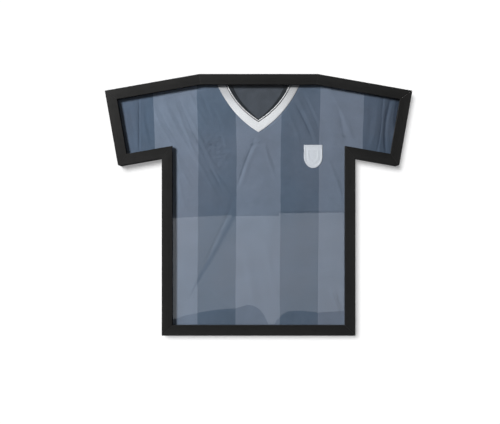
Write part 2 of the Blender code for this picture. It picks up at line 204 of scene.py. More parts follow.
def boundary(quads):
    """The loop of points round a sheet of quads, in the quads' own sense."""
    sides = [quads[:, [k, (k + 1) % 4]] for k in range(4)]
    edges = set(map(tuple, join(sides).tolist()))
    after = {a: b for a, b in edges if (b, a) not in edges}
    loop = [min(after)]
    while after[loop[-1]] != loop[0]:
        loop.append(after[loop[-1]])
    return np.array(loop)


def ring_quads(low, high, count):
    """Faces between two rings of points that start at low and high."""
    faces = []
    for k in range(count):
        n = (k + 1) % count
        faces.append((low + k, low + n, high + n, high + k))
    return faces


def unit(rows):
    return rows / norm(rows, axis=1, keepdims=True)


def loop_outward(points):
    """How far each point of an anticlockwise loop moves when its edges move outwards by 1."""
    ahead = unit(np.roll(points, -1, 0) - points)
    normal = stack([ahead[:, 1], -ahead[:, 0]], 1)
    before = np.roll(normal, 1, 0)
    return (normal + before) / (1 + (normal * before).sum(1, keepdims=True)).clip(0.4)


def shell_mesh(name, flat, quads, front, thick, skirt=None, uv=None):
    """A closed sheet: flat is (x, z) of each point, front its depth in mm and thick its thickness.
    skirt holds, for each point, the depth that the sheet's edge turns back to, or 0."""
    loop = boundary(quads)
    if area_of([Vector(p) for p in flat[loop].tolist()]) < 0:
        quads, loop = quads[:, ::-1], loop[::-1]
    count, rim = len(flat), len(loop)
    front = np.broadcast_to(np.asarray(front, float), (count,))
    thick = np.broadcast_to(np.asarray(thick, float), (count,))
    out = loop_outward(flat[loop])
    near, far, thin = front[loop], (front + thick)[loop], thick[loop]
    wall = np.zeros(rim) if skirt is None else skirt[loop]
    turned = wall > 0
    bulge = np.where(turned, thin, 0.5 * thin)
    end = np.where(turned, wall, far)
    rings = [
        (0.6 * bulge, near + 0.12 * thin),
        (0.95 * bulge, np.where(turned, near + 0.6 * thin, 0.6 * near + 0.4 * far)),
        (bulge, np.where(turned, near + 1.4 * thin, (near + far) / 2)),
        (bulge, np.where(turned, end - 0.25 * thin, 0.4 * near + 0.6 * far)),
        (0.6 * bulge, np.where(turned, end, far - 0.12 * thin)),
        (0.08 * bulge, np.where(turned, end - 0.15 * thin, far))
    ]
    x, z = flat.T
    spots = [stack([x, depth(at), z], 1) for at in (front, front + thick)]
    for push, at in rings:
        moved = flat[loop] + out * (push * MM)[:, None]
        spots.append(stack([moved[:, 0], depth(at), moved[:, 1]], 1))
    faces = [quads, quads[:, ::-1] + count]
    levels = [2 * count + r * rim + np.arange(rim) for r in range(len(rings))]
    levels = [loop, *levels, loop + count]
    for low, high in zip(levels, levels[1:]):
        faces.append(stack([low, high, np.roll(high, -1), np.roll(low, -1)], 1))
    mesh = new_mesh(name, join(spots).tolist(), join(faces).tolist())
    if uv is not None:
        tall = join([uv, uv] + [uv[loop]] * len(rings))
        layer = mesh.uv_layers.new(name="cloth")
        order = np.empty(len(mesh.loops), int)
        mesh.loops.foreach_get("vertex_index", order)
        layer.data.foreach_set("uv", tall[order].ravel())
    return mesh


def between(low, high, step):
    """Evenly spaced values from low to high, about step apart, both included."""
    return np.linspace(low, high, max(2, int(round(abs(high - low) / step)) + 1))


# ---- creases of the cloth

def crease(x, z, start, end, width, height, bow, skew):
    """A soft ridge (height > 0, towards the window) from start to end, in mm of depth.
    bow bends it sideways, and skew makes one flank steeper than the other."""
    ax, az = start
    dx, dz = end[0] - ax, end[1] - az
    length = hypot(dx, dz)
    t = ((x - ax) * dx + (z - az) * dz) / length**2
    side = ((x - ax) * dz - (z - az) * dx) / length
    inside = t.clip(0, 1)
    off = side - bow * 4 * inside * (1 - inside)
    wide = width * (1 + skew * np.tanh(off / width))
    beyond = np.maximum(np.maximum(-t, t - 1), 0) * length
    fade = np.clip(np.minimum(inside, 1 - inside) * 3.2, 0, 1) ** 0.7
    return height * fade * np.exp(-((off / wide) ** 2) - (beyond / width) ** 2)


def soft_noise(x, z, seed, scale, octaves=3):
    """Smooth noise between about -1 and 1 from crossed waves; scale is its largest feature."""
    draw = random.Random(seed)
    total, weight = np.zeros_like(x), 0.0
    for octave in range(octaves):
        size = scale / 1.9**octave
        for _ in range(5):
            angle, phase = draw.uniform(0, pi), draw.uniform(0, 2 * pi)
            k = 2 * pi / (size * draw.uniform(0.8, 1.4))
            total += 0.62**octave * np.sin(k * (x * cos(angle) + z * sin(angle)) + phase)
        weight += 2.2 * 0.62**octave
    return total / weight


def smooth_step(value, low, high):
    """0 below low and 1 above high, smooth between."""
    t = np.clip((value - low) / (high - low), 0, 1)
    return t * t * (3 - 2 * t)


# ---- node materials

def add(tree, kind, settings=None, **inputs):
    """A node with its settings and inputs, which are values or other nodes' outputs."""
    made = tree.nodes.new("ShaderNode" + kind)
    for key, value in (settings or {}).items():
        setattr(made, key, value)
    for key, value in inputs.items():
        socket = made.inputs[int(key[1:]) if key[1:].isdigit() else key.replace("_", " ")]
        if isinstance(value, bpy.types.NodeSocket):
            tree.links.new(value, socket)
        else:
            socket.default_value = (*value, 1) if socket.type == "RGBA" else value
    return made


class Shade:
    """A Principled material in the making; its textures use object coordinates."""

    def __init__(self, name, colour, **plain):
        self.made = bpy.data.materials.new(name)
        self.made.use_nodes = True
        self.made.diffuse_color = (*colour, 1)
        self.tree = self.made.node_tree
        self.shader = self.tree.nodes["Principled BSDF"]
        self.shader.inputs["Base Color"].default_value = (*colour, 1)
        for key, value in plain.items():
            self.shader.inputs[key.replace("_", " ")].default_value = value
        self.where = self.add("TexCoord").outputs["Object"]

    def add(self, kind, settings=None, **inputs):
        return add(self.tree, kind, settings, **inputs)

    def axes(self):
        return self.add("SeparateXYZ", i0=self.where).outputs[:]

    def math(self, operation, a, b=0, c=0, clamp=False):
        settings = {"operation": operation, "use_clamp": clamp}
        return self.add("Math", settings, i0=a, i1=b, i2=c).outputs[0]

    def plus(self, a, b):
        return self.math("ADD", a, b)

    def minus(self, a, b):
        return self.math("SUBTRACT", a, b)

    def times(self, a, b):
        return self.math("MULTIPLY", a, b)

    def fit(self, a, b, c):
        return self.math("MULTIPLY_ADD", a, b, c)

    def size(self, a):
        return self.math("ABSOLUTE", a)

    def wave(self, value, length):
        """A sine of value, with one turn in each length."""
        return self.math("SINE", self.times(value, 2 * pi / length))

    def mix(self, factor, a, b, blend="MIX"):
        settings = {"data_type": "RGBA", "blend_type": blend}
        return self.add("Mix", settings, i0=factor, i6=a, i7=b).outputs[2]

    def noise(self, scale, detail=3, rough=0.5, twist=0, where=None):
        """A noise texture, about 0.5 on average."""
        numbers = {"Scale": scale, "Detail": detail, "Roughness": rough, "Distortion": twist}
        return self.add("TexNoise", Vector=where or self.where, **numbers).outputs["Fac"]

    def ramp(self, value, low, high, to_low=0, to_high=1):
        """A clamped, smooth map of a value's range."""
        settings = {"interpolation_type": "SMOOTHSTEP"}
        numbers = {"i1": low, "i2": high, "i3": to_low, "i4": to_high}
        return self.add("MapRange", settings, i0=value, **numbers).outputs[0]

    def cloud(self, low, high, *noise):
        """A value that wanders between low and high."""
        return self.ramp(self.noise(*noise), 0.3, 0.7, low, high)

    def bump(self, height, distance, strength=1, **under):
        """A bump's normal; height is 0 to 1 and distance is in metres."""
        numbers = {"Strength": strength, "Distance": distance}
        return self.add("Bump", Height=height, **numbers, **under).outputs[0]

    def surface(self, output):
        """Makes a shader's output the material's surface."""
        self.tree.links.new(output, self.tree.nodes["Material Output"].inputs["Surface"])
        return self.made

    def done(self, colour, rough, normal):
        """Links the shader's inputs."""
        for name, value in (("Base Color", colour), ("Roughness", rough), ("Normal", normal)):
            self.tree.links.new(value, self.shader.inputs[name])
        return self.made


def scaled(colour, factor):
    return tuple(c * factor for c in colour)


def knit(m, x, z, wale=0.0013, course=0.0011):
    """Height of a plain knit, with stitches a wale apart along x and a course apart along z."""
    sway = m.times(m.noise(260, 2), 0.0006)
    legs = m.wave(m.plus(x, sway), wale)
    down = m.times(z, 2 * pi / course)
    loops = m.math("SINE", m.plus(down, m.size(legs)))
    return m.fit(m.times(legs, loops), 0.5, 0.5)


LACQUER = (0.0146, 0.0147, 0.0148)
RAILS = (
    "side_right", "underarm_right", "cuff_right", "shoulder_right", "top", "shoulder_left",
    "cuff_left", "underarm_left", "side_left", "bottom"
)
# painted light: per-rail brightness factors that lighten the rails the key light reaches less, so
# all rails look alike
RAIL_PAINTED_LIGHT = (1.28, 1.15, 1.22, 1.12, 1.1, 0.96, 0.98, 1, 1.02, 1.22)
LIGHT_STRIPE = (0.156, 0.198, 0.272)
DARK_STRIPE = (0.082, 0.12, 0.18)
CUFF_STRIPE = (0.062, 0.098, 0.156)
EYELETS_APART = 0.0046
RUBBER = (0.022, 0.022, 0.023)
SILVER = (0.74, 0.77, 0.83)


def jersey_material():
    """Striped knit with eyelets, with painted shade in its crease valleys and stitch hollows and
    towards the right cuff.
    """
    gloss = {"Sheen_Weight": 0.18, "Sheen_Roughness": 0.45, "Specular_IOR_Level": 0.3}
    m = Shade("striped_knit", LIGHT_STRIPE, Roughness=0.78, **gloss)
    x, _, z = m.axes()
    wander = m.fit(m.noise(30, 2), 0.0024, -0.0012)
    moved = m.plus(m.plus(x, m.ramp(z, 0.02, 0.44, 0.0022, -0.0004)), wander)
    away = m.minus(m.size(moved), m.ramp(z, 0.44, 0.6, 0, 0.0036))
    first, second, third = [m.math("GREATER_THAN", away, edge) for edge in STRIPES]
    is_dark = m.math("ADD", m.minus(first, second), third, clamp=True)
    colour = m.mix(third, m.mix(is_dark, LIGHT_STRIPE, DARK_STRIPE), CUFF_STRIPE)
    # painted shade: the right sleeve darkens towards its cuff, where the cloth turns away from the
    # key light
    colour = m.mix(m.ramp(x, 0.262, 0.312, 0, 0.45), colour, (0.036, 0.06, 0.1))
    blotch = m.cloud(0.93, 1.07, 16, 4, 0.6)
    grey = m.add("CombineColor", Red=blotch, Green=blotch, Blue=blotch).outputs[0]
    colour = m.mix(1, colour, grey, "MULTIPLY")
    colour = m.mix(m.ramp(m.noise(5, 2), 0.35, 0.65, 0, 0.16), colour, (0.19, 0.19, 0.24))
    height = knit(m, x, z)
    leaning = [m.fit(z, slope, x) for slope in (0.8, -0.8)]
    holes = m.times(*[m.wave(line, EYELETS_APART) for line in leaning])
    patchy = m.ramp(m.noise(7, 2), 0.42, 0.62)
    eyelets = m.times(m.ramp(holes, 0.2, 0.8, 0, 0.16), patchy)
    colour = m.mix(eyelets, colour, (0.03, 0.05, 0.09))
    # painted shade: the cloth darkens in the valleys of its creases, read from the fold attribute
    # of crease heights
    fold = m.add("Attribute", {"attribute_name": "fold"}).outputs["Fac"]
    colour = m.mix(m.ramp(fold, -1.25, -0.2, 0.8, 0), colour, (0.018, 0.032, 0.06))
    # painted shade in the knit's stitch hollows: the lower the stitch height, the darker the colour
    colour = m.mix(m.ramp(height, 0, 0.5, 0.12, 0), colour, (0.03, 0.045, 0.07))
    fuzz = m.bump(m.noise(900, 3, 0.6), 0.0001, 0.5)
    rough = m.cloud(0.7, 0.86, 120)
    return m.done(colour, rough, m.bump(height, 0.00022, 0.8, Normal=fuzz))


def plain_knit(name, colour, rough=0.85, wale=0.0012, variation=0.1):
    m = Shade(name, colour, Roughness=rough, Sheen_Weight=0.12, Specular_IOR_Level=0.25)
    x, _, z = m.axes()
    height = knit(m, x, z, wale, wale * 0.85)
    blotch = m.cloud(0, 1, 40, 4, 0.6)
    tint = m.mix(blotch, scaled(colour, 1 - variation), scaled(colour, 1 + variation))
    # painted shade in the stitch hollows: the lower the knit height, the darker the colour
    tint = m.mix(m.ramp(height, 0, 0.5, 0.25, 0), tint, scaled(colour, 0.45))
    rough = m.ramp(height, 0, 1, rough + 0.08, rough - 0.08)
    return m.done(tint, rough, m.bump(height, 0.00018, 0.8))


def rib_material(name, colour):
    """Ribbed knit whose ribs run across a band; its UV is (along, across) in metres."""
    m = Shade(name, colour, Roughness=0.75, Sheen_Weight=0.15, Specular_IOR_Level=0.3)
    _, _, z = m.axes()
    band = m.add("SeparateXYZ", i0=m.add("UVMap", {"uv_map": "cloth"}).outputs[0])
    ribs, loops = m.wave(band.outputs[0], 0.0021), m.wave(band.outputs[1], 0.001)
    height = m.plus(m.fit(ribs, 0.35, 0.5), m.times(loops, 0.12))
    soil = m.cloud(0, 0.12, 30)
    tint = m.mix(soil, colour, scaled(colour, 0.88))
    # painted shadow of the top rail's lip: the collar turns greyer towards its top
    tint = m.mix(m.ramp(z, 0.535, 0.612, 0, 0.92), tint, (0.4, 0.4, 0.42))
    # painted shade between the ribs: the lower the rib height, the darker the colour
    tint = m.mix(m.ramp(height, 0.05, 0.45, 0.22, 0), tint, scaled(colour, 0.55))
    rough = m.cloud(0.68, 0.84, 200, 2)
    return m.done(tint, rough, m.bump(height, 0.0003, 0.7))


def lacquer_material(i):
    """Satin black on rail i, with its grain along the rail, edges paler partly from wear and partly
    from painted highlight, and pale mitre lines of painted highlight.
    """
    m = Shade(f"satin_black_lacquer_{i}", LACQUER, Roughness=0.42, Specular_IOR_Level=0.09)
    x, y, z = m.axes()
    start, end, ahead = CORNERS[i], (i + 1) % COUNT, direction(i)
    along, across = [
        m.plus(m.times(m.minus(x, start.x), way.x), m.times(m.minus(z, start.y), way.y))
        for way in (ahead, inward(i))
    ]
    local = m.add("CombineXYZ", X=m.times(along, 0.07), Y=across, Z=y)
    grain = m.noise(900, 4, 0.6, 0.4, local.outputs[0])
    cloudy = m.cloud(0.95, 1.05, 11)
    # painted light: the rail's outer half lighter and its inner half darker, as a crowned face lit
    # from the side would look
    tone = m.times(cloudy, m.ramp(across, 0.006, 0.019, 1.08, 0.92))
    tone = m.times(tone, m.ramp(grain, 0.3, 0.46, 0.55, 1))
    # painted light: the rail's colour scaled by its per-rail brightness factor
    tint = m.mix(tone, (0, 0, 0), scaled(LACQUER, RAIL_PAINTED_LIGHT[i]))
    tint.node.clamp_factor = False
    half = SIGHT_INSET / 2
    # edges paler, partly as wear and partly as painted highlight on the rounded edges
    rim = m.ramp(m.size(m.minus(across, half)), half - 0.001, half - 0.0002)
    wear_and_highlight = m.times(rim, 0.5)
    # pale mitre lines: painted highlight where the joints catch light, broken up in patches like
    # wear
    for corner, place in ((i, 0), (end, (CORNERS[end] - start).length)):
        line = m.minus(m.times(across, mitre(corner).dot(ahead)), along)
        gap = m.size(m.plus(line, place))
        wear_and_highlight = m.math("MAXIMUM", wear_and_highlight, m.ramp(gap, 0.0006, 0.0022, 1, 0))
    patchy = m.ramp(m.noise(60), 0.35, 0.65, 0.3, 1)
    wear_and_highlight = m.times(m.times(wear_and_highlight, patchy), 0.45)
    rough = m.cloud(0.38, 0.47, 45, 4, 0.6)
    return m.done(m.mix(wear_and_highlight, tint, scaled(LACQUER, 2.2)), rough, m.bump(grain, 0.00005, 0.3))


def window_material():
    """A clear pane: see-through, with a mirror's share by Fresnel."""
    m = Shade("clear_pane", (0.8, 0.8, 0.8))
    m.tree.nodes.remove(m.shader)
    waves = m.bump(m.noise(3, 1), 0.0004, 0.12)
    smear = m.ramp(m.noise(18, 4, 0.65), 0.45, 0.75, 0.004, 0.014)
    finish = {"Color": (0.96, 0.98, 1), "Roughness": smear, "Normal": waves}
    mirror = m.add("BsdfAnisotropic", {"distribution": "GGX"}, **finish).outputs[0]
    clear = m.add("BsdfTransparent", Color=(0.985, 0.99, 0.99)).outputs[0]
    facing = m.add("LayerWeight", Blend=0.5).outputs["Facing"]
    share = m.fit(m.math("POWER", facing, 5), 0.96, 0.04)
    return m.surface(m.add("MixShader", i0=share, i1=clear, i2=mirror).outputs[0])


def board_material(name, colour, dark, scale, rough, flecks=0.3):
    """Kraft board or hardboard: fibres, flecks and a slightly uneven tone."""
    m = Shade(name, colour, Roughness=rough)
    stretched = m.add("Mapping", Vector=m.where, Scale=(1, 1, 0.22)).outputs[0]
    fibre = m.noise(scale, 5, 0.65, 0.6, stretched)
    speck = m.ramp(m.noise(scale * 2.6), 0.62, 0.74, 0, flecks)
    tone = m.cloud(0, 1, 5)
    tint = m.mix(tone, scaled(colour, 0.92), scaled(colour, 1.08))
    tint = m.mix(m.ramp(fibre, 0.35, 0.7, 0, 0.45), tint, dark)
    rough = m.ramp(fibre, 0.3, 0.7, rough - 0.08, rough + 0.06)
    return m.done(m.mix(speck, tint, scaled(dark, 0.6)), rough, m.bump(fibre, 0.00012, 0.6))


def steel_material():
    """Zinc-plated steel with spangle, stains and fine scratches."""
    m = Shade("zinc_plated_steel", (0.62, 0.61, 0.59), Roughness=0.34, Metallic=1)
    cells = m.add("TexVoronoi", Vector=m.where, Scale=900).outputs["Distance"]
    tint = m.mix(m.ramp(cells, 0.1, 0.7), (0.66, 0.65, 0.63), (0.52, 0.52, 0.51))
    stain = m.ramp(m.noise(160, 4), 0.5, 0.8, 0, 0.35)
    tint = m.mix(stain, tint, (0.36, 0.34, 0.3))
    scratch = m.add("Mapping", Vector=m.where, Scale=(1, 1, 0.1)).outputs[0]
    lines = m.noise(2500, 2, where=scratch)
    return m.done(tint, m.ramp(lines, 0.3, 0.7, 0.24, 0.46), m.bump(lines, 0.00002, 0.4))


def rubber_material():
    """Black rubber with some dust on it."""
    m = Shade("black_rubber_foot", RUBBER, Roughness=0.78)
    dust = m.ramp(m.noise(300, 4), 0.45, 0.8, 0, 0.5)
    tint = m.mix(dust, RUBBER, (0.06, 0.06, 0.058))
    grain = m.bump(m.noise(1500, 2), 0.00005, 0.5)
    return m.done(tint, m.ramp(dust, 0, 0.5, 0.7, 0.9), grain)


def emblem_material():
    """Silver thread in satin stitch."""
    m = Shade("silver_thread", SILVER, Roughness=0.42, Sheen_Weight=0.2, Metallic=0)
    x, _, z = m.axes()
    threads = m.wave(m.fit(z, 0.55, x), 0.0007)
    blotch = m.cloud(0, 0.15, 90)
    tint = m.mix(blotch, SILVER, (0.6, 0.64, 0.72))
    # painted shade between the satin stitches: darker where the threads are low
    tint = m.mix(m.ramp(threads, -1, 1, 0.28, 0), tint, (0.36, 0.4, 0.48))
    height = m.fit(threads, 0.5, 0.5)
    return m.done(tint, m.ramp(threads, -1, 1, 0.55, 0.36), m.bump(height, 0.00015, 0.7))


KRAFT, KRAFT_DARK = (0.46, 0.34, 0.22), (0.3, 0.21, 0.13)
HARDBOARD, HARDBOARD_DARK = (0.21, 0.13, 0.078), (0.11, 0.066, 0.04)
FINISH = {
    "clear_plastic": window_material(), "jersey_knit": jersey_material(),
    "jersey_inside": plain_knit("inner_knit", (0.06, 0.07, 0.088), 0.88),
    "collar_knit": rib_material("white_rib", (0.765, 0.775, 0.81)),
    "emblem_silver": emblem_material(),
    "kraft_board": board_material("kraft_board_face", KRAFT, KRAFT_DARK, 160, 0.88),
    "hardboard": board_material("hardboard_face", HARDBOARD, HARDBOARD_DARK, 240, 0.62, 0.4),
    "zinc_steel": steel_material(), "black_rubber": rubber_material()
}
DARK_RIB = plain_knit("dark_rib", (0.016, 0.02, 0.026), 0.9, 0.0011, 0.2)
WHITE_CORD = plain_knit("white_piping", (0.82, 0.82, 0.85), 0.7, 0.0009, 0.06)

for i, name in enumerate(RAILS):
    for place in NODES[f"rail_{name}"].material_slots:
        place.material = lacquer_material(i)
for node in NODES.values():
    for place in node.material_slots:
        key = place.material.name.split(".")[0]
        if key in FINISH:
            place.material = FINISH[key]


# ---- the jersey's front

def t_grid(inset, step, roof):
    """Points and quads of a T-shaped sheet, and half the neckline's width.
    roof is the neckline as an array of (x, z) with x rising."""
    corner = inset_corners(inset)
    armpit, low, high = (corner[n] for n in ("armpit_right", "cuff_low_right", "cuff_high_right"))
    neck, foot = corner["neck_right"], corner["bottom_right"]
    slope = (high.y - neck.y) / (high.x - neck.x)
    right = roof[roof[:, 0] >= 0]
    opening = float(np.interp(neck.y, right[:, 1], right[:, 0]))
    stops = [0.0, opening, neck.x, armpit.x]
    parts = [between(a, b, step)[:-1] for a, b in zip(stops, stops[1:])]
    body = join([*parts, [armpit.x]])
    sleeve = between(0, 1, step / (low.x - armpit.x))[1:]
    shoulder = Vector((armpit.x, neck.y + slope * (armpit.x - neck.x)))
    tops = np.where(body <= neck.x, neck.y, neck.y + slope * (body - neck.x))
    tops = np.where(body < opening - 1e-6, np.interp(body, roof[:, 0], roof[:, 1]), tops)
    bottoms = np.full_like(body, armpit.y)
    lows, highs = [
        whole_v(join([stack([body, ends], 1), [a.lerp(b, t)[:] for t in sleeve]]))
        for ends, a, b in ((bottoms, armpit, low), (tops, shoulder, high))
    ]
    columns, inner = len(lows), 2 * len(body) - 1
    skip = (columns - inner) // 2
    rows = len(between(armpit.y, neck.y, step))
    share = np.linspace(0, 1, rows)[:, None, None]
    upper = lows * (1 - share) + highs * share
    levels = between(foot.y, armpit.y, step)
    across = lows[skip : skip + inner, 0]
    lower = stack(np.meshgrid(across, levels[:-1]), -1)
    flat = join([upper.reshape(-1, 2), lower.reshape(-1, 2)])
    first = rows * columns
    quads = [grid_quads(rows, columns), grid_quads(len(levels) - 1, inner, first)]
    last = first + (len(levels) - 2) * inner
    k = np.arange(inner - 1)
    quads.append(stack([last + k, last + k + 1, skip + k + 1, skip + k], -1))
    return flat, join(quads), opening


# Creases of the cloth: start (x, z), end (x, z), width and sideways bow, all in mm, then height in
# mm of depth (towards the window where positive) and skew
CREASES = (
    # long ridges from the left shoulder towards the middle
    (-258, 566, -196, 446, 2.8, 7, 0.75, 0.3), (-250, 572, -176, 440, 2.4, 7, -0.5, 0),
    (-232, 574, -120, 385, 3, 8, 0.8, 0.35), (-222, 576, -128, 420, 2.6, 8, -0.5, 0),
    (-206, 582, -86, 315, 3.4, 10, 0.85, 0.35), (-194, 584, -104, 395, 2.8, 10, -0.55, 0),
    (-182, 560, -78, 330, 3.2, -5, 0.7, 0.3), (-160, 500, -70, 318, 2.6, 4, -0.55, 0),
    (-150, 470, -58, 330, 2.8, 5, 0.7, 0.2), (-136, 468, -84, 380, 2.4, 3, 0.6, 0.3),
    (-126, 430, -80, 345, 2.2, 3, -0.5, 0), (-168, 590, -118, 500, 4, 4, 0.5, 0.2),
    (-142, 596, -112, 520, 5, 3, -0.45, 0), (-116, 560, -84, 455, 6, -4, -0.55, 0),
    (-104, 530, -66, 440, 4.5, 3, 0.5, 0), (-205, 452, -160, 352, 3.2, 3, 0.6, 0.2),
    (-190, 440, -152, 372, 2.6, 2, -0.45, 0), (-200, 400, -172, 300, 5, 3, 0.4, 0),
    # puckers on the left dark stripe
    (-138, 482, -96, 470, 3.5, 3, 0.45, 0), (-134, 462, -88, 452, 3, -3, -0.45, 0),
    (-128, 448, -80, 440, 3, 3, 0.45, 0), (-120, 430, -74, 426, 3, -2, 0.35, 0),
    # below the V, and the long crease that runs down to the left
    (-4, 486, -56, 345, 3.4, 4, -0.75, 0.3), (6, 480, -44, 352, 4, 4, 0.55, 0),
    (-46, 352, -156, 110, 6, 4, -0.6, 0.2), (12, 478, 50, 360, 4, 4, 0.45, 0.2),
    (22, 470, 46, 390, 3.6, 3, -0.4, 0), (-44, 462, 46, 470, 4, 3, -0.3, 0),
    # from the collar's right side
    (78, 578, 136, 456, 3.6, -4, -0.8, 0.3), (88, 586, 144, 462, 3.6, -4, 0.65, 0),
    (100, 594, 150, 480, 4.5, -5, -0.55, 0), (66, 552, 104, 452, 4, -4, 0.5, 0.2),
    (120, 580, 160, 500, 4.5, 4, 0.45, 0),
    # right shoulder and below the right arm
    (176, 588, 226, 470, 5, -6, 0.45, 0), (196, 556, 212, 462, 4.5, 3, -0.5, 0),
    (206, 540, 236, 462, 5, 3, 0.4, 0), (166, 500, 250, 470, 4, 4, -0.3, 0),
    (140, 466, 212, 452, 2.8, 2, 0.5, 0.4), (162, 440, 206, 310, 5, -5, 0.45, 0.2),
    (176, 420, 208, 340, 4, -3, -0.4, 0),
    # the body's lower half
    (16, 250, 50, 80, 8, 6, 0.45, 0), (-34, 200, -12, 60, 8, -6, 0.4, 0),
    (186, 120, 206, 48, 4.5, 2, -0.6, 0), (176, 110, 198, 50, 5, 2, 0.5, 0),
    (-120, 110, -60, 60, 7, 3, 0.35, 0),
    # the sleeves
    (-322, 548, -306, 448, 6, 4, 0.55, 0), (-312, 556, -298, 470, 4.5, 3, -0.5, 0),
    (-282, 566, -262, 450, 5, 4, 0.55, 0.2), (-274, 540, -258, 470, 4, 3, -0.4, 0),
    (327, 592, 311, 420, 3, 13, -1.8, 0.3), (335, 580, 320, 430, 3.4, 13, 0.7, 0),
    (345, 600, 329, 490, 5.2, 3, -1.9, 0), (344, 540, 326, 430, 4, 0, 0.6, 0),
    (311, 585, 301, 470, 2.6, 4, 0.55, 0), (288, 578, 270, 450, 5, -6, 0.5, 0),
    (272, 580, 262, 450, 5, -4, -0.35, 0),
    # nearly level fold lines left by packing
    (-212, 283.5, 50, 288.5, 2, 0, -0.3, 0), (44, 295.5, 214, 297, 2.2, 0, -0.65, 0),
    (44, 300, 214, 301.5, 3, 0, 0.35, 0),
    # sleeve seams: the stitched line and the cloth that rises beside it
    (-290.5, 600, -289.5, 420, 1.9, 0.8, -1.5, 0), (-286.5, 600, -285.5, 420, 2.6, 0.8, 0.45, 0),
    (303, 600, 283, 420, 1.9, -3.5, -1.5, 0), (307, 600, 287, 420, 2.6, -3.5, 0.45, 0),
)
def wrinkles(x, z):
    """Height of the creases and seams, in mm towards the window."""
    rise = np.zeros_like(x)
    for *spots, height, skew in CREASES:
        ax, az, bx, bz, width, bow = (number / 1000 for number in spots)
        rise += crease(x, z, (ax, az), (bx, bz), width, height, bow, skew)
    puckered = np.exp(-(((x + 0.104) / 0.036) ** 2) - ((z - 0.452) / 0.04) ** 2)
    return rise + 0.45 * puckered * soft_noise(x, z, 77, 0.016, 2)


def cloth_depth(x, z, wrinkled):
    """Depth of the cloth's face behind the frame's front, in millimetres."""
    rise = 0.24 * soft_noise(x, z, 11, 0.1) + 0.14 * soft_noise(x, z, 5, 0.028, 2)
    rise += CREASE_GAIN * wrinkled
    quiet = np.exp(-(((x - EMBLEM_AT[0]) / 0.034) ** 4) - ((z - EMBLEM_AT[1]) / 0.042) ** 4)
    rise = rise * (1 - 0.92 * quiet) + 0.45 * quiet
    edge = whole_v(collar_edge(COLLAR_OUTER, steps=20, rise_steps=2))
    gap = np.full(x.shape, 1.0)
    close = (abs(x) < 0.13) & (z > 0.44)
    apart = stack([x[close], z[close]], 1)[:, None] - dense_points(edge)[None]
    gap[close] = norm(apart, axis=2).min(1)
    sunk = 1 - smooth_step(gap, 0.0012, 0.005)
    most = np.where(rise > 0, HIGHEST, LOWEST)
    return CLOTH_DEPTH - most * np.tanh(rise / most) * (1 - sunk) + 0.45 * sunk


def dense_points(edge, step=0.0012):
    """A polyline's points with more between them."""
    parts = []
    for a, b in zip(edge, edge[1:]):
        count = max(2, int(norm(b - a) / step))
        parts.append(a + (b - a) * np.linspace(0, 1, count, endpoint=False)[:, None])
    return join(parts + [edge[-1:]])


def build_front():
    neckline = whole_v(collar_edge(COLLAR_OUTER, grow=-0.003))
    neckline = neckline[np.argsort(neckline[:, 0])]
    flat, quads, opening = t_grid(SLIDING_INSET + 0.0009, CLOTH_STEP, neckline)
    x, z = flat.T
    wrinkled = wrinkles(x, z)
    face = cloth_depth(x, z, wrinkled)
    skirt = np.where((abs(x) < opening - 1e-6) & (z > HEIGHT / 2), 0.0, FOLD_END)
    mesh = shell_mesh("shirt_front", flat, quads, face, CLOTH_THICKNESS, skirt)
    # crease heights kept on the mesh; the knit's material darkens the valleys with them as painted
    # shade
    fold = np.zeros(len(mesh.vertices))
    fold[: len(flat)] = wrinkled
    mesh.attributes.new("fold", "FLOAT", "POINT").data.foreach_set("value", fold)
    made = link("shirt_front", mesh, "insert", "jersey_knit")
    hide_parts("jersey_front")
    return made


def build_back():
    share = np.linspace(-1, 1, 31)
    scoop = HEIGHT - FORM_INSET - 0.002 * np.cos(share * pi / 2)
    neckline = stack([0.105 * share, scoop], 1)
    flat, quads, _ = t_grid(FORM_INSET + 0.0002, 0.006, neckline)
    x, z = flat.T
    face = BACK_DEPTH + 0.1 * soft_noise(x, z, 23, 0.05)
    mesh = shell_mesh("shirt_back", flat, quads, face, CLOTH_THICKNESS)
    made = link("shirt_back", mesh, "insert", "jersey_inside")
    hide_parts("jersey_back")
    return made


def ribbon(name, inner, outer, across, front, thick, material=None):
    """A band between two curves of equal point count, with a face depth for each place across."""
    share = np.asarray(across)[None, :, None]
    points = inner[:, None] * (1 - share) + outer[:, None] * share
    rows, columns = points.shape[:2]
    flat = points.reshape(-1, 2)
    face = np.broadcast_to(np.asarray(front), (rows, columns)).ravel()
    wall = np.broadcast_to(np.asarray(thick), (rows, columns)).ravel()
    length = join([[0], np.cumsum(norm(np.diff(inner, axis=0), axis=1))])
    width = norm(outer - inner, axis=1)
    uv = stack([np.repeat(length, columns), (width[:, None] * share[..., 0]).ravel()], 1)
    mesh = shell_mesh(name, flat, grid_quads(rows, columns), face, wall, uv=uv)
    return link(name, mesh, "insert", "collar_knit", material)


def tube(name, path, radius, material, sides=10):
    """A round cord along a path of (x, depth in mm, z), closed at its ends."""
    path = np.array([(p[0], depth(p[1]), p[2]) for p in path])
    back = np.array([0.0, 1.0, 0.0])
    side = unit(np.cross(unit(np.gradient(path, axis=0)), back))
    turns = np.linspace(0, 2 * pi, sides, endpoint=False)
    ring = side[:, None] * np.cos(turns)[:, None] + back * np.sin(turns)[:, None]
    verts = (path[:, None] + radius * ring).reshape(-1, 3)
    faces = []
    for k in range(len(path) - 1):
        faces += ring_quads(k * sides, (k + 1) * sides, sides)
    faces += [tuple(range(sides))[::-1], tuple(range((len(path) - 1) * sides, len(path) * sides))]
    return link(name, new_mesh(name, verts.tolist(), faces), "insert", "collar_knit", material)


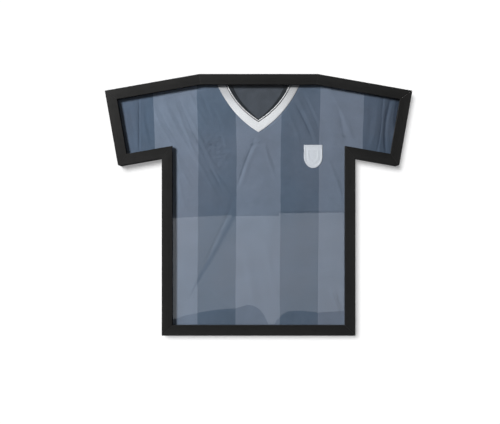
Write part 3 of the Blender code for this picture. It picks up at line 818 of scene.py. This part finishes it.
def build_collar():
    outer = whole_v(collar_edge(COLLAR_OUTER, grow=-0.0002))
    inner = whole_v(collar_edge(COLLAR_INNER, grow=0.0058))
    across = [0, 0.04, 0.1, 0.2, 0.35, 0.5, 0.65, 0.8, 0.9, 0.955, 0.985, 1.0]
    crown = np.array([0.35, 0.16, 0.05, 0, -0.03, -0.04, -0.03, 0.02, 0.1, 0.12, 0.26, 0.45])
    face, thick = COLLAR_DEPTH + crown, 0.9 - crown * 0.5
    band = ribbon("collar_band", inner, outer, across, face, thick)
    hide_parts("jersey_collar")
    made = [band]
    for name, grow, radius, at, material in (
        ("collar_dark_line", 0.0049, 0.0009, 12.0, DARK_RIB),
        ("collar_white_line", 0.0029, 0.00125, 11.9, WHITE_CORD)
    ):
        path = [(x, at, z) for x, z in whole_v(collar_edge(COLLAR_INNER, grow=grow))]
        made.append(tube(name, path, radius, material))
    rim = collar_edge(COLLAR_INNER, grow=0.0022)
    widths = np.linspace(0.0024, 0.0105, len(rim)) + 0.001
    slope = unit(np.gradient(rim, axis=0))
    inside = rim + stack([-slope[:, 1], slope[:, 0]], 1) * widths[:, None]
    inside[0] = (0, rim[0, 1] + 0.0044)
    inside[:, 0] = inside[:, 0].clip(0)
    inside, rim = whole_v(inside), whole_v(rim)
    face = FACING_DEPTH + np.array([0.35, 0.12, 0, 0, 0, 0])
    across = [0, 0.06, 0.2, 0.5, 0.8, 1.0]
    return made + [ribbon("collar_facing", inside, rim, across, face, 0.5, DARK_RIB)]


# The emblem's raised outlines, from its edge inwards: share of its size, depth in mm
EMBLEM_RINGS = (
    (1.0, 11.05), (0.985, 10.8), (0.955, 10.66), (0.915, 10.62), (0.875, 10.66), (0.85, 10.8),
    (0.835, 10.92), (0.8, 10.88), (0.6, 10.84), (0.57, 10.72), (0.53, 10.7), (0.5, 10.74),
    (0.47, 10.86), (0.25, 10.82)
)
EMBLEM_HALF, EMBLEM_TALL, EMBLEM_FLOOR, EMBLEM_HUB = 0.0225, 0.056, 11.22, 10.81


def build_badge():
    """A plain shield with raised outlines."""
    half, top = EMBLEM_HALF, EMBLEM_TALL / 2
    arcs = np.linspace(0, pi / 2, 25)
    side = stack([half * np.cos(arcs), -top * np.sin(arcs)], 1)
    right = join([stack([np.full(12, half), np.linspace(top, 0, 12)], 1), side[1:]])
    lid = stack([np.linspace(-half, half, 20), np.full(20, top)], 1)[1:-1]
    loop = join([right, (right * (-1, 1))[::-1][1:], lid])[::-1]
    centre = np.array([0.0, 0.003])
    verts, faces, count = [], [], len(loop)

    def put(points, at):
        """Adds points of the emblem at a depth and returns the first one's number."""
        verts.extend((EMBLEM_AT[0] + x, float(depth(at)), EMBLEM_AT[1] + z) for x, z in points)
        return len(verts) - len(points)

    starts = [put(centre + (loop - centre) * scale, at) for scale, at in EMBLEM_RINGS]
    hub = put([centre], EMBLEM_HUB)
    floor = put(loop, EMBLEM_FLOOR)
    under = put([centre], EMBLEM_FLOOR)
    for low, high in zip(starts, starts[1:]):
        faces += ring_quads(low, high, count)
    for k in range(count):
        n = (k + 1) % count
        faces.append((starts[-1] + k, starts[-1] + n, hub))
        faces.append((n, k, floor + k, floor + n))
        faces.append((floor + n, floor + k, under))
    mesh = new_mesh("emblem", verts, faces)
    made = link("emblem", mesh, "insert", "emblem_silver")
    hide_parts("jersey_badge")
    return made


shirt_front = build_front()
shirt_back = build_back()
collar_parts = build_collar()
emblem = build_badge()

# ---- folds behind the form board

FOLD_STEP = 0.004
FOLD_CORNERS = inset_corners(FORM_INSET)


def fold_sheet(name, node, corners, seed, hem_side):
    """Cloth folded behind the form board: corners are (x, z) of a quadrilateral, anticlockwise from
    its lower left. hem_side is the side that carries the double hem."""
    a, b, c, d = [np.array(p) for p in corners]
    across = max(norm(b - a), norm(c - d))
    up = max(norm(d - a), norm(c - b))
    u, v = np.meshgrid(between(0, 1, FOLD_STEP / across), between(0, 1, FOLD_STEP / up))
    s, t = u[..., None], v[..., None]
    flat = ((a * (1 - s) + b * s) * (1 - t) + (d * (1 - s) + c * s) * t).reshape(-1, 2)
    away = {"left": u * across, "right": (1 - u) * across, "top": (1 - v) * up}[hem_side].ravel()
    x, z = flat.T
    ripple = 0.28 * soft_noise(x, z, seed, 0.05)
    stitch = 0.35 * np.exp(-(((away - 0.018) / 0.0018) ** 2))
    double = 0.45 * (1 - smooth_step(away, 0.017, 0.02))
    back = FOLDS_DEPTH + ripple + double - stitch
    thick = 0.7 + 0.5 * double
    mesh = shell_mesh(name, flat, grid_quads(*u.shape), back - thick, thick)
    made = link(name, mesh, "insert", "jersey_knit")
    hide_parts(node)
    return made


def box_fold(name, node, seed, hem_side):
    """A fold with the outline of its CAD solid."""
    lo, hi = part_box(node)
    corners = [(lo.x, lo.z), (hi.x, lo.z), (hi.x, hi.z), (lo.x, hi.z)]
    fold_sheet(name, node, corners, seed, hem_side)


for side_name, sign, hem_side in (("right", 1, "left"), ("left", -1, "right")):
    high, low = FOLD_CORNERS[f"cuff_high_{side_name}"], FOLD_CORNERS[f"cuff_low_{side_name}"]
    reach = sign * SLEEVE_FOLD * Vector((cos(SHOULDER_SLOPE), 0))
    drop = Vector((0, SLEEVE_FOLD * sin(SHOULDER_SLOPE)))
    inner_low, inner_high = low - reach + drop, high - reach + drop
    corners = [inner_low, low, high, inner_high] if sign > 0 else [low, inner_low, inner_high, high]
    node = f"jersey_sleeve_fold_{side_name}"
    fold_sheet(f"sleeve_fold_{side_name}", node, corners, 30 + sign, hem_side)
    box_fold(f"side_fold_{side_name}", f"jersey_side_fold_{side_name}", 40 + sign, hem_side)
box_fold("hem_fold", "jersey_hem_fold", 50, "top")

# ---- hardware on the back

def ring_mesh(name, rings, ahead=Vector((1, 0)), centre=Vector((0, 0)), closed=False):
    """A surface through rings of (u, v, y): u runs along ahead and v to its left, about centre.
    The ends are capped, or joined to each other when closed."""
    side = Vector((-ahead.y, ahead.x))
    verts, faces, count = [], [], len(rings[0])
    for ring in rings:
        for u, v, y in ring:
            spot = centre + u * ahead + v * side
            verts.append((spot.x, y, spot.y))
    levels = list(range(len(rings)))
    for low, high in zip(levels, levels[1:] + ([0] if closed else [])):
        faces += ring_quads(low * count, high * count, count)
    if not closed:
        faces.append(tuple(range(count))[::-1])
        faces.append(tuple(range((len(rings) - 1) * count, len(rings) * count)))
    return new_mesh(name, verts, faces)


def round_ring(radius, y, steps=40):
    turns = [2 * pi * k / steps for k in range(steps)]
    return [(radius * cos(a), radius * sin(a), y) for a in turns]


def node_box(node):
    """A CAD node's box, and the box's middle as (x, z)."""
    lo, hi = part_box(node)
    return lo, hi, Vector(((lo.x + hi.x) / 2, (lo.z + hi.z) / 2))


# Turn buttons with the number of the rail that each is on
BUTTONS = (
    ("side_right_low", 0), ("side_right_high", 0), ("cuff_right", 2), ("shoulder_right", 3),
    ("shoulder_left", 5), ("cuff_left", 6), ("side_left_high", 8), ("side_left_low", 8),
    ("bottom_left", 9), ("bottom_right", 9)
)
BUTTON_LENGTH = 0.022
BUTTON_HALF = 0.0055
BUTTON_HOLE = 0.00185
BUTTON_STEPS = 64
NOSE_RADIUS = 0.72 * BUTTON_HALF
GROOVE_DEPTH = 0.00035
SCREW_HEAD = 0.0034
SCREW_HEAD_HEIGHT = 0.0018
SCREW_SHANK = 0.0015
SCREW_POINT = 0.003
RECESS_DEPTH = 0.001
# The screw's head from its rim to its middle, as shares of its radius
DOME = (0.985, 0.95, 0.89, 0.82, 0.74, 0.66, 0.6, 0.56, 0.52, 0.46, 0.38, 0.3, 0.22, 0.14, 0.06)
# The rubber foot's profile: shares of its radius and its height
FOOT = (
    (0.99, 0.0), (1.0, 0.04), (1.0, 0.62), (0.985, 0.74), (0.94, 0.86), (0.87, 0.94),
    (0.78, 0.985), (0.66, 1.0), (0.34, 1.0), (0.3, 0.96), (0.05, 0.94)
)


def button_reach(turn):
    """How far a turn button's edge lies from its screw, in the direction turn."""
    nose = BUTTON_LENGTH - BUTTON_HALF - NOSE_RADIUS
    c, s = cos(turn), abs(sin(turn))
    if c <= 0:
        return BUTTON_HALF
    lean = asin((BUTTON_HALF - NOSE_RADIUS) / nose)
    side = BUTTON_HALF / max(1e-6, c * sin(lean) + s * cos(lean))
    inside = NOSE_RADIUS**2 - (nose * s) ** 2
    if inside <= 0:
        return side
    tip = nose * c + sqrt(inside)
    touch = atan2(NOSE_RADIUS * cos(lean), nose + NOSE_RADIUS * sin(lean))
    return tip if abs(atan2(s, c)) < touch else side


def build_button(name, rail):
    """A stamped turn button: eased edges, a countersunk hole and a groove along its nose."""
    node = f"turn_button_{name}"
    near, far = [corner.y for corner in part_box(node)]
    pivot = node_box(f"button_screw_{name}")[2]
    section = (
        (0.0, near + 0.0001), (0.0, far - 0.00035), (0.05, far - 0.0001), (0.13, far),
        (0.45, far), (0.86, far), (0.95, far - 0.00008), (1.0, far - 0.00035),
        (1.0, near + 0.00015), (0.96, near), (0.1, near)
    )
    rings = []
    for share, y in section:
        ring = []
        for k in range(BUTTON_STEPS):
            turn = 2 * pi * k / BUTTON_STEPS
            reach = BUTTON_HOLE + share * (button_reach(turn) - BUTTON_HOLE)
            u, v = reach * cos(turn), reach * sin(turn)
            groove = exp(-((v / 0.0011) ** 2)) * smooth_step(u, 0.004, 0.007)
            ring.append((u, v, y - (GROOVE_DEPTH * groove if y > far - 0.0001 else 0)))
        rings.append(ring)
    mesh = ring_mesh(f"catch_{name}", rings, direction(rail), pivot, closed=True)
    made = link(mesh.name, mesh, f"button_{name}", "zinc_steel", sharp=38)
    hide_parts(node)


def build_screw(name, rail):
    """A pan-head screw with a cross recess, its shank and its point."""
    node = f"button_screw_{name}"
    lo, hi, centre = node_box(node)
    seat = hi.y - SCREW_HEAD_HEIGHT
    rings = [
        round_ring(0.00012, lo.y), round_ring(SCREW_SHANK * 0.55, lo.y + 0.5 * SCREW_POINT),
        round_ring(SCREW_SHANK, lo.y + SCREW_POINT), round_ring(SCREW_SHANK, seat),
        round_ring(SCREW_HEAD * 0.97, seat), round_ring(SCREW_HEAD, seat + 0.15 * SCREW_HEAD_HEIGHT)
    ]
    for share in DOME:
        ring = []
        radius = share * SCREW_HEAD
        tall = SCREW_HEAD_HEIGHT * (0.35 + 0.65 * sqrt(1 - (0.985 * share) ** 2))
        arm = 0.00042 + 0.00012 * (1 - share)
        end = 1 - smooth_step(radius, 0.00185, 0.00205)
        for u, v, _ in round_ring(radius, 0.0):
            slot = 1 - smooth_step(min(abs(u), abs(v)), arm, arm + 0.00014)
            ring.append((u, v, seat + tall - RECESS_DEPTH * slot * end))
        rings.append(ring)
    mesh = ring_mesh(f"screw_{name}", rings, direction(rail), centre)
    made = link(mesh.name, mesh, "frame", "zinc_steel", sharp=42)
    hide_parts(node)


for name, rail in BUTTONS:
    build_button(name, rail)
    build_screw(name, rail)

for name in ("left", "right"):
    lo, hi, centre = node_box(f"bumper_{name}")
    radius, tall = (hi.x - lo.x) / 2, hi.y - lo.y
    rings = [round_ring(radius * wide, lo.y + tall * high, 48) for wide, high in FOOT]
    mesh = ring_mesh(f"foot_{name}", rings, centre=centre)
    foot = link(mesh.name, mesh, "frame", "black_rubber", sharp=50)
    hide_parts(f"bumper_{name}")

# ---- stage, light and camera

CAMERA = Vector((-0.0206, -1.6, 0.298))
PICTURE_WIDTH = 1.2034
SENSOR = 36.0
MIDDLE = (0.0, 0.0, HEIGHT / 2)

camera_data = bpy.data.cameras.new("camera")
camera = place_object("camera", camera_data)
camera.location = CAMERA
camera.rotation_euler = (pi / 2, 0, 0)
camera_data.sensor_width = SENSOR
camera_data.lens = SENSOR * (FRONT_Y - CAMERA.y) / PICTURE_WIDTH
bpy.context.scene.camera = camera
bpy.context.scene.view_settings.view_transform = "Standard"


def turned_to(way):
    """The rotation that makes a lamp shine along way."""
    return Vector(way).to_track_quat("-Z", "Y").to_euler()


def area_light(name, place, size, energy, colour=(1, 1, 1)):
    """A round lamp that shines at the frame's middle."""
    data = bpy.data.lights.new(name, "AREA")
    data.shape, data.size, data.energy, data.color = "DISK", size, energy, colour
    made = place_object(name, data)
    made.location = place
    made.rotation_euler = turned_to(Vector(MIDDLE) - Vector(place))
    return made


lamps = [
    area_light("key", (-2.05, -2.06, 1.66), 0.8, 158.0, (1.0, 0.987, 0.965)),
    area_light("rear", (1.3, 2.6, 1.9), 1.4, 120.0),
    area_light("rear_low", (-2.3, 1.7, 0.1), 1.0, 34.0)
]

world = bpy.data.worlds.new("studio")
world.use_nodes = True
bpy.context.scene.world = world
tree = world.node_tree
room = tree.nodes["Background"]
room.inputs["Color"].default_value = (0.93, 0.96, 1.0, 1)
room.inputs["Strength"].default_value = 0.1
paper = add(tree, "Background", Color=(1, 1, 1), Strength=1.05)
seen = add(tree, "LightPath").outputs["Is Camera Ray"]
both = add(tree, "MixShader", i0=seen, i1=room.outputs[0], i2=paper.outputs[0])
tree.links.new(both.outputs[0], tree.nodes["World Output"].inputs["Surface"])


def stage_object(name, mesh, material):
    made = link(name, mesh, material=material, smooth=False)
    return made


def stage_plane(name, corners, material):
    return stage_object(name, new_mesh(name, corners, [list(range(len(corners)))]), material)


def pale(name, glow):
    """A matt near-white that also glows by itself."""
    glows = {"Emission_Color": (1, 1, 1, 1), "Emission_Strength": glow}
    return Shade(name, (0.8, 0.8, 0.8), Roughness=0.9, Specular_IOR_Level=0, **glows)


def hide_from(made, *rays):
    for ray in ("diffuse", "shadow", "transmission", *rays):
        setattr(made, f"visible_{ray}", False)


FLOOR_Z = -0.3
FLOOR_REACH = 9
WALL_REACH = 4
WALL_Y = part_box("bumper_left")[1].y + 0.0003
WALL_GLOW, WALL_WASH = 0.27, 3.1
WASH_WAY, WASH_ANGLE = (0.36, 1.0, -0.33), 0.5
floor = stage_plane(
    "floor",
    [(x * FLOOR_REACH, y * FLOOR_REACH, FLOOR_Z) for x, y in ((-1, -1), (1, -1), (1, 1), (-1, 1))],
    pale("pale_floor", 0.85).made
)
hide_from(floor, "glossy")


def build_wall():
    """The pale wall that the frame hangs on, open behind the frame and unseen from behind."""
    mesh = bpy.data.meshes.new("wall")
    made = bmesh.new()
    reach = WALL_REACH
    edge = [(-reach, FLOOR_Z), (reach, FLOOR_Z), (reach, reach), (-reach, reach)]
    for ring in (edge, inset_corners(0.012).values()):
        spots = [made.verts.new((x, WALL_Y, z)) for x, z in ring]
        for a, b in zip(spots, spots[1:] + spots[:1]):
            made.edges.new((a, b))
    bmesh.ops.triangle_fill(made, use_beauty=True, edges=made.edges[:])
    for face in made.faces:
        face.normal_update()
        if face.normal.y > 0:
            face.normal_flip()
    made.to_mesh(mesh)
    made.free()
    m = pale("pale_wall", WALL_GLOW)
    away = m.add("NewGeometry").outputs["Backfacing"]
    front, back = m.shader.outputs[0], m.add("BsdfTransparent").outputs[0]
    m.surface(m.add("MixShader", i0=away, i1=front, i2=back).outputs[0])
    made = stage_object("wall", mesh, m.made)
    hide_from(made, "glossy")
    return made


wall = build_wall()
wash_data = bpy.data.lights.new("wall_wash", "SUN")
wash_data.energy, wash_data.angle = WALL_WASH, WASH_ANGLE
wash = place_object("wall_wash", wash_data)
wash.rotation_euler = turned_to(WASH_WAY)
only_wall, not_wall = [bpy.data.collections.new(n) for n in ("only_wall", "not_wall")]
for group in (only_wall, not_wall):
    group.objects.link(wall)
not_wall.collection_objects[0].light_linking.link_state = "EXCLUDE"
wash.light_linking.receiver_collection = only_wall
for lamp in lamps:
    lamp.light_linking.receiver_collection = not_wall

# What the window mirrors, as (x, z) on the window in mm: a bright room above a hilly dark edge,
# cut by a slanting streak, which has a half-width as its third number
PANE_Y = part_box("window")[0].y
PANEL_Y = -2.6
MIRROR_TOP = [(-215, 283), (-58, 288.1), (50, 288.8), (50, 295), (215, 296.6)]
MIRROR_LOW = [
    (-215, 36), (-145, 54.6), (-99, 61.9), (-58, 64.3), (-36, 70.5), (-24, 73.8), (-12, 71.5),
    (-3, 66.7), (6.5, 58), (13.7, 47.4), (30, 15), (31, 15), (42, 33), (49.8, 42.6), (59.5, 51.5),
    (70.3, 57), (88, 59.2), (110, 59.4), (143.7, 54.6), (175, 57), (215, 59.6)
]
STREAK = (
    (-59.5, 286.5, 5), (-80, 250, 5), (-100, 212, 4.8), (-125, 169, 4.4), (-142.7, 140, 3.4),
    (-160, 108, 1.8), (-169.2, 86, 0.2)
)
STREAK_ACROSS = (0.85, -0.53)
STREAK_FOOT = [(-169.2, 49.5)]
STREAK_EDGE = 1.6
# The streak's strips: from and to, in half-widths, and the glow
STREAK_STRIPS = (
    (-1.6, -0.9, 0.72), (-0.9, -0.3, 0.5), (-0.3, 0.5, 0.36), (0.5, 1.0, 0.52), (1.0, 1.6, 0.72)
)
ROOM_GLOW = 0.9


def mirrored(x, z):
    """The place on the panel that the camera sees mirrored at (x, z) mm of the window."""
    far = (PANE_Y - PANEL_Y) / (PANE_Y - CAMERA.y)
    x, z = x / 1000, z / 1000
    return (x + (x - CAMERA.x) * far, PANEL_Y, z + (z - CAMERA.z) * far)


def streak_side(reach):
    """Points beside the streak's middle, reach half-widths to the right of it."""
    right, up = STREAK_ACROSS
    return [(x + reach * half * right, z + reach * half * up) for x, z, half in STREAK]


def glowing(name, strength):
    m = Shade(name, (0.8, 0.8, 0.8))
    m.tree.nodes.remove(m.shader)
    return m.surface(m.add("Emission", Color=(0.94, 0.96, 1.0), Strength=strength).outputs[0])


left = MIRROR_TOP[:1] + streak_side(-STREAK_EDGE) + STREAK_FOOT + MIRROR_LOW[:1]
middle = MIRROR_TOP[1:] + MIRROR_LOW[:0:-1] + STREAK_FOOT + streak_side(STREAK_EDGE)[::-1]
panels = [("mirror_left", left, ROOM_GLOW), ("mirror_middle", middle, ROOM_GLOW)]
for low, high, glow in STREAK_STRIPS:
    strip = streak_side(low) + streak_side(high)[::-1]
    panels.append((f"mirror_streak_{len(panels)}", strip, glow))
for name, shape, glow in panels:
    made = stage_plane(name, [mirrored(x, z) for x, z in shape], glowing(name, glow))
    hide_from(made, "camera")
